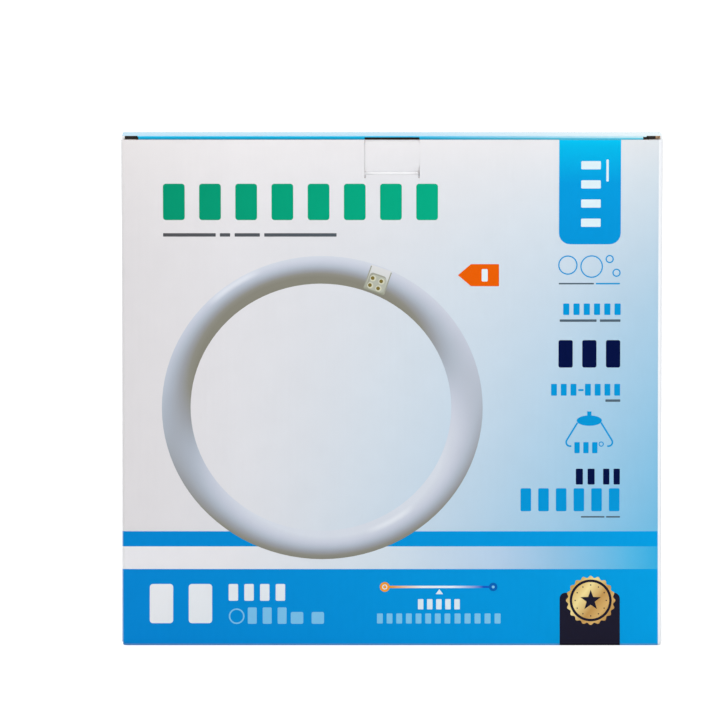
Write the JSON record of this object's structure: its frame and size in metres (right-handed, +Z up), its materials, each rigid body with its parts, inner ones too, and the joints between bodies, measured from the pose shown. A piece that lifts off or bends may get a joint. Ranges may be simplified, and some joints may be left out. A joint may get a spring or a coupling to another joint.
{
  "type": "lamp carton",
  "caption": "Flat upright folding carton for a ring lamp, closed by a tuck lid with slit locks and a lock tab that swings out of the front panel.",
  "frame": {"origin": "middle of the base, on the surface the carton stands on", "axes": "+X to the right as the front panel is seen, -Y out of the front panel, +Z up"},
  "size_m": [0.33, 0.038, 0.312],
  "materials": {
    "printed_board": "white coated fluted board with a semi-gloss print, blue at the lid and foot",
    "tab_board": "white coated fluted board, semi-gloss, brown inside"
  },
  "bodies": {
    "carton": {"carton": "printed_board"},
    "lock_tab": {"lock_tab": "tab_board"}
  },
  "joints": [
    {"name": "lock_tab_crease", "type": "hinge", "parent": "carton", "child": "lock_tab", "pos_m": [0, -0.0185, 0.2892], "axis": [1, 0, 0], "range_deg": [0, 90]}
  ]
}
